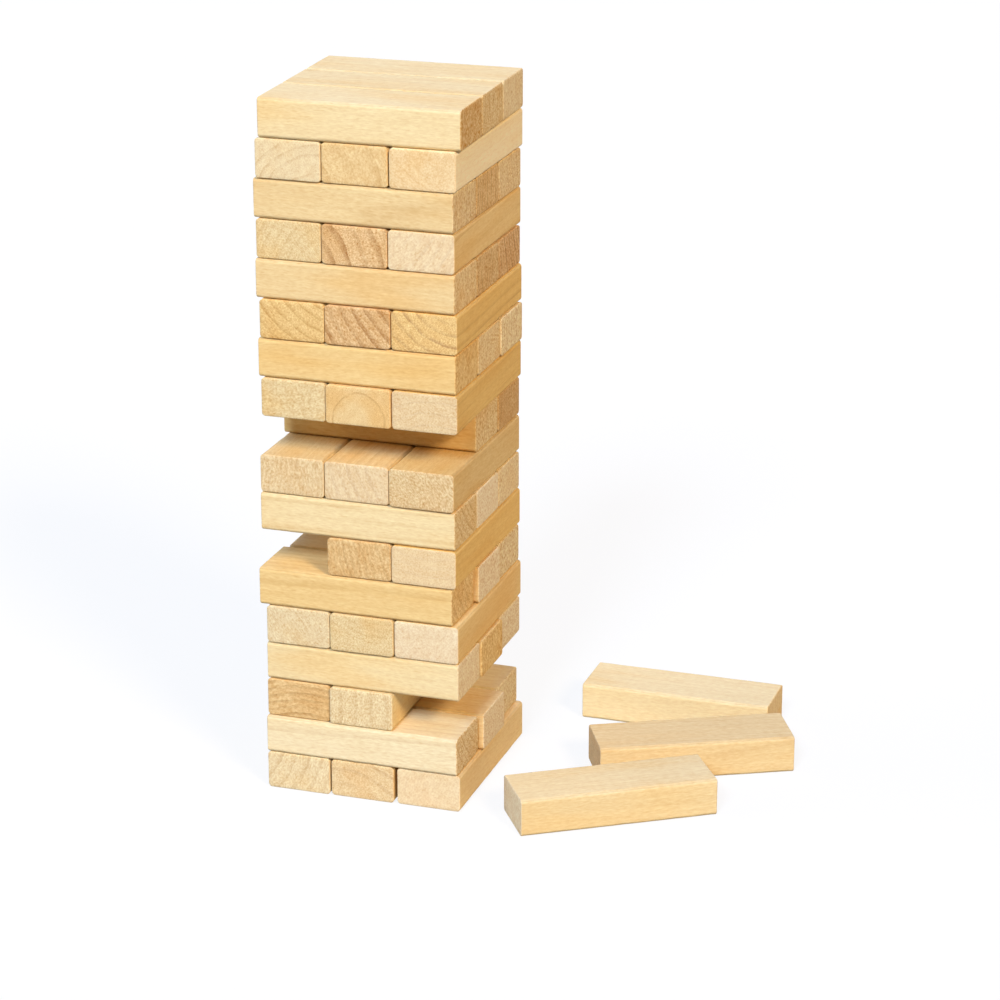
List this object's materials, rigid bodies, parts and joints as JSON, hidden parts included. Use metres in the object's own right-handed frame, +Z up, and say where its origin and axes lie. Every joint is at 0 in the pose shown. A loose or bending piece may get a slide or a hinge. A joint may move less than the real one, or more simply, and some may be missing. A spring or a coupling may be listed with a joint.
{
  "type": "tumbling tower game",
  "caption": "Tower of alike oblong wooden blocks with eased edges, laid crosswise level on level; every block draws out along its length, and some lie loose beside it.",
  "frame": {"origin": "on the table, under the middle of the tower: the centre of the bottom middle block's underside", "axes": "+Z up the tower, -Y towards the viewer, +X towards the loose blocks"},
  "size_m": [0.1863, 0.1364, 0.2643],
  "materials": {
    "wood_honey": "bare sanded hardwood",
    "wood_straw": "bare sanded hardwood",
    "wood_pale": "bare sanded hardwood",
    "wood_amber": "bare sanded hardwood",
    "wood_gold": "bare sanded hardwood",
    "wood_rosy": "bare sanded hardwood",
    "wood_biscuit": "bare sanded hardwood"
  },
  "bodies": {
    "level_01_left": {"level_01_left": "wood_pale"},
    "level_01_middle": {"level_01_middle": "wood_honey"},
    "level_01_right": {"level_01_right": "wood_honey"},
    "level_02_back": {"level_02_back": "wood_straw"},
    "level_02_front": {"level_02_front": "wood_pale"},
    "level_02_middle": {"level_02_middle": "wood_honey"},
    "level_03_left": {"level_03_left": "wood_biscuit"},
    "level_03_middle": {"level_03_middle": "wood_straw"},
    "level_04_back": {"level_04_back": "wood_straw"},
    "level_04_front": {"level_04_front": "wood_straw"},
    "level_04_middle": {"level_04_middle": "wood_amber"},
    "level_05_left": {"level_05_left": "wood_pale"},
    "level_05_middle": {"level_05_middle": "wood_straw"},
    "level_05_right": {"level_05_right": "wood_amber"},
    "level_06_back": {"level_06_back": "wood_straw"},
    "level_06_front": {"level_06_front": "wood_amber"},
    "level_06_middle": {"level_06_middle": "wood_honey"},
    "level_07_middle": {"level_07_middle": "wood_biscuit"},
    "level_07_right": {"level_07_right": "wood_gold"},
    "level_08_back": {"level_08_back": "wood_straw"},
    "level_08_front": {"level_08_front": "wood_straw"},
    "level_08_middle": {"level_08_middle": "wood_pale"},
    "level_09_left": {"level_09_left": "wood_honey"},
    "level_09_middle": {"level_09_middle": "wood_honey"},
    "level_09_right": {"level_09_right": "wood_amber"},
    "level_10_back": {"level_10_back": "wood_biscuit"},
    "level_10_middle": {"level_10_middle": "wood_amber"},
    "level_11_left": {"level_11_left": "wood_straw"},
    "level_11_middle": {"level_11_middle": "wood_honey"},
    "level_11_right": {"level_11_right": "wood_gold"},
    "level_12_back": {"level_12_back": "wood_straw"},
    "level_12_front": {"level_12_front": "wood_amber"},
    "level_12_middle": {"level_12_middle": "wood_honey"},
    "level_13_left": {"level_13_left": "wood_amber"},
    "level_13_middle": {"level_13_middle": "wood_rosy"},
    "level_13_right": {"level_13_right": "wood_gold"},
    "level_14_back": {"level_14_back": "wood_rosy"},
    "level_14_front": {"level_14_front": "wood_honey"},
    "level_14_middle": {"level_14_middle": "wood_biscuit"},
    "level_15_left": {"level_15_left": "wood_straw"},
    "level_15_middle": {"level_15_middle": "wood_rosy"},
    "level_15_right": {"level_15_right": "wood_amber"},
    "level_16_back": {"level_16_back": "wood_honey"},
    "level_16_front": {"level_16_front": "wood_honey"},
    "level_16_middle": {"level_16_middle": "wood_biscuit"},
    "level_17_left": {"level_17_left": "wood_pale"},
    "level_17_middle": {"level_17_middle": "wood_honey"},
    "level_17_right": {"level_17_right": "wood_pale"},
    "level_18_back": {"level_18_back": "wood_straw"},
    "level_18_front": {"level_18_front": "wood_straw"},
    "level_18_middle": {"level_18_middle": "wood_straw"},
    "loose_back": {"loose_back": "wood_straw"},
    "loose_front": {"loose_front": "wood_straw"},
    "loose_middle": {"loose_middle": "wood_honey"}
  },
  "joints": [
    {"name": "loose_back_lift", "type": "slide", "parent": "level_01_middle", "child": "loose_back", "axis": [0, 0, 1], "range_m": [0, 0.28]},
    {"name": "loose_front_lift", "type": "slide", "parent": "level_01_middle", "child": "loose_front", "axis": [0, 0, 1], "range_m": [0, 0.28]},
    {"name": "loose_middle_lift", "type": "slide", "parent": "level_01_middle", "child": "loose_middle", "axis": [0, 0, 1], "range_m": [0, 0.28]},
    {"name": "level_18_back_slide", "type": "slide", "parent": "level_01_middle", "child": "level_18_back", "axis": [0.9998, 0.0209, 0], "range_m": [-0.08, 0.08]},
    {"name": "level_18_front_slide", "type": "slide", "parent": "level_01_middle", "child": "level_18_front", "axis": [0.9998, 0.0209, 0], "range_m": [-0.08, 0.08]},
    {"name": "level_18_middle_slide", "type": "slide", "parent": "level_01_middle", "child": "level_18_middle", "axis": [0.9998, 0.0209, 0], "range_m": [-0.08, 0.08]},
    {"name": "level_17_left_slide", "type": "slide", "parent": "level_01_middle", "child": "level_17_left", "axis": [0, -1, 0], "range_m": [-0.08, 0.08]},
    {"name": "level_17_middle_slide", "type": "slide", "parent": "level_01_middle", "child": "level_17_middle", "axis": [0, -1, 0], "range_m": [-0.08, 0.08]},
    {"name": "level_17_right_slide", "type": "slide", "parent": "level_01_middle", "child": "level_17_right", "axis": [0, -1, 0], "range_m": [-0.08, 0.08]},
    {"name": "level_16_back_slide", "type": "slide", "parent": "level_01_middle", "child": "level_16_back", "axis": [1, -0.007, 0], "range_m": [-0.08, 0.08]},
    {"name": "level_16_front_slide", "type": "slide", "parent": "level_01_middle", "child": "level_16_front", "axis": [1, -0.007, 0], "range_m": [-0.08, 0.08]},
    {"name": "level_16_middle_slide", "type": "slide", "parent": "level_01_middle", "child": "level_16_middle", "axis": [1, -0.007, 0], "range_m": [-0.08, 0.08]},
    {"name": "level_15_left_slide", "type": "slide", "parent": "level_01_middle", "child": "level_15_left", "axis": [0, -1, 0], "range_m": [-0.08, 0.08]},
    {"name": "level_15_middle_slide", "type": "slide", "parent": "level_01_middle", "child": "level_15_middle", "axis": [0, -1, 0], "range_m": [-0.08, 0.08]},
    {"name": "level_15_right_slide", "type": "slide", "parent": "level_01_middle", "child": "level_15_right", "axis": [0, -1, 0], "range_m": [-0.08, 0.08]},
    {"name": "level_14_back_slide", "type": "slide", "parent": "level_01_middle", "child": "level_14_back", "axis": [1, 0, 0], "range_m": [-0.08, 0.08]},
    {"name": "level_14_front_slide", "type": "slide", "parent": "level_01_middle", "child": "level_14_front", "axis": [1, 0, 0], "range_m": [-0.08, 0.08]},
    {"name": "level_14_middle_slide", "type": "slide", "parent": "level_01_middle", "child": "level_14_middle", "axis": [1, 0, 0], "range_m": [-0.08, 0.08]},
    {"name": "level_13_left_slide", "type": "slide", "parent": "level_01_middle", "child": "level_13_left", "axis": [0.0052, -1, 0], "range_m": [-0.08, 0.08]},
    {"name": "level_13_middle_slide", "type": "slide", "parent": "level_01_middle", "child": "level_13_middle", "axis": [0.0052, -1, 0], "range_m": [-0.08, 0.08]},
    {"name": "level_13_right_slide", "type": "slide", "parent": "level_01_middle", "child": "level_13_right", "axis": [0.0052, -1, 0], "range_m": [-0.08, 0.08]},
    {"name": "level_12_back_slide", "type": "slide", "parent": "level_01_middle", "child": "level_12_back", "axis": [1, 0, 0], "range_m": [-0.08, 0.08]},
    {"name": "level_12_front_slide", "type": "slide", "parent": "level_01_middle", "child": "level_12_front", "axis": [1, 0, 0], "range_m": [-0.08, 0.08]},
    {"name": "level_12_middle_slide", "type": "slide", "parent": "level_01_middle", "child": "level_12_middle", "axis": [1, 0, 0], "range_m": [-0.08, 0.08]},
    {"name": "level_11_left_slide", "type": "slide", "parent": "level_01_middle", "child": "level_11_left", "axis": [0.007, -1, 0], "range_m": [-0.08, 0.08]},
    {"name": "level_11_middle_slide", "type": "slide", "parent": "level_01_middle", "child": "level_11_middle", "axis": [0.007, -1, 0], "range_m": [-0.08, 0.08]},
    {"name": "level_11_right_slide", "type": "slide", "parent": "level_01_middle", "child": "level_11_right", "axis": [0.007, -1, 0], "range_m": [-0.08, 0.08]},
    {"name": "level_10_back_slide", "type": "slide", "parent": "level_01_middle", "child": "level_10_back", "axis": [1, 0, 0], "range_m": [-0.08, 0.08]},
    {"name": "level_10_middle_slide", "type": "slide", "parent": "level_01_middle", "child": "level_10_middle", "axis": [1, 0, 0], "range_m": [-0.08, 0.08]},
    {"name": "level_09_left_slide", "type": "slide", "parent": "level_01_middle", "child": "level_09_left", "axis": [-0.0052, -1, 0], "range_m": [-0.08, 0.08]},
    {"name": "level_09_middle_slide", "type": "slide", "parent": "level_01_middle", "child": "level_09_middle", "axis": [-0.0052, -1, 0], "range_m": [-0.08, 0.08]},
    {"name": "level_09_right_slide", "type": "slide", "parent": "level_01_middle", "child": "level_09_right", "axis": [-0.0052, -1, 0], "range_m": [-0.08, 0.08]},
    {"name": "level_08_back_slide", "type": "slide", "parent": "level_01_middle", "child": "level_08_back", "axis": [1, 0, 0], "range_m": [-0.08, 0.08]},
    {"name": "level_08_front_slide", "type": "slide", "parent": "level_01_middle", "child": "level_08_front", "axis": [1, 0, 0], "range_m": [-0.08, 0.08]},
    {"name": "level_08_middle_slide", "type": "slide", "parent": "level_01_middle", "child": "level_08_middle", "axis": [1, 0, 0], "range_m": [-0.08, 0.08]},
    {"name": "level_07_middle_slide", "type": "slide", "parent": "level_01_middle", "child": "level_07_middle", "axis": [0, -1, 0], "range_m": [-0.08, 0.08]},
    {"name": "level_07_right_slide", "type": "slide", "parent": "level_01_middle", "child": "level_07_right", "axis": [0, -1, 0], "range_m": [-0.08, 0.08]},
    {"name": "level_06_back_slide", "type": "slide", "parent": "level_01_middle", "child": "level_06_back", "axis": [1, 0, 0], "range_m": [-0.08, 0.08]},
    {"name": "level_06_front_slide", "type": "slide", "parent": "level_01_middle", "child": "level_06_front", "axis": [1, 0, 0], "range_m": [-0.08, 0.08]},
    {"name": "level_06_middle_slide", "type": "slide", "parent": "level_01_middle", "child": "level_06_middle", "axis": [1, 0, 0], "range_m": [-0.08, 0.08]},
    {"name": "level_05_left_slide", "type": "slide", "parent": "level_01_middle", "child": "level_05_left", "axis": [0.0052, -1, 0], "range_m": [-0.08, 0.08]},
    {"name": "level_05_middle_slide", "type": "slide", "parent": "level_01_middle", "child": "level_05_middle", "axis": [0.0052, -1, 0], "range_m": [-0.08, 0.08]},
    {"name": "level_05_right_slide", "type": "slide", "parent": "level_01_middle", "child": "level_05_right", "axis": [0.0052, -1, 0], "range_m": [-0.08, 0.08]},
    {"name": "level_04_back_slide", "type": "slide", "parent": "level_01_middle", "child": "level_04_back", "axis": [1, 0, 0], "range_m": [-0.08, 0.08]},
    {"name": "level_04_front_slide", "type": "slide", "parent": "level_01_middle", "child": "level_04_front", "axis": [1, 0, 0], "range_m": [-0.08, 0.08]},
    {"name": "level_04_middle_slide", "type": "slide", "parent": "level_01_middle", "child": "level_04_middle", "axis": [1, 0, 0], "range_m": [-0.08, 0.08]},
    {"name": "level_03_left_slide", "type": "slide", "parent": "level_01_middle", "child": "level_03_left", "axis": [0, -1, 0], "range_m": [-0.08, 0.08]},
    {"name": "level_03_middle_slide", "type": "slide", "parent": "level_01_middle", "child": "level_03_middle", "axis": [0, -1, 0], "range_m": [-0.08, 0.08]},
    {"name": "level_02_back_slide", "type": "slide", "parent": "level_01_middle", "child": "level_02_back", "axis": [1, 0, 0], "range_m": [-0.08, 0.08]},
    {"name": "level_02_front_slide", "type": "slide", "parent": "level_01_middle", "child": "level_02_front", "axis": [1, 0, 0], "range_m": [-0.08, 0.08]},
    {"name": "level_02_middle_slide", "type": "slide", "parent": "level_01_middle", "child": "level_02_middle", "axis": [1, 0, 0], "range_m": [-0.08, 0.08]},
    {"name": "level_01_left_slide", "type": "slide", "parent": "level_01_middle", "child": "level_01_left", "axis": [0, -1, 0], "range_m": [-0.08, 0.08]},
    {"name": "level_01_right_slide", "type": "slide", "parent": "level_01_middle", "child": "level_01_right", "axis": [0, -1, 0], "range_m": [-0.08, 0.08]}
  ]
}
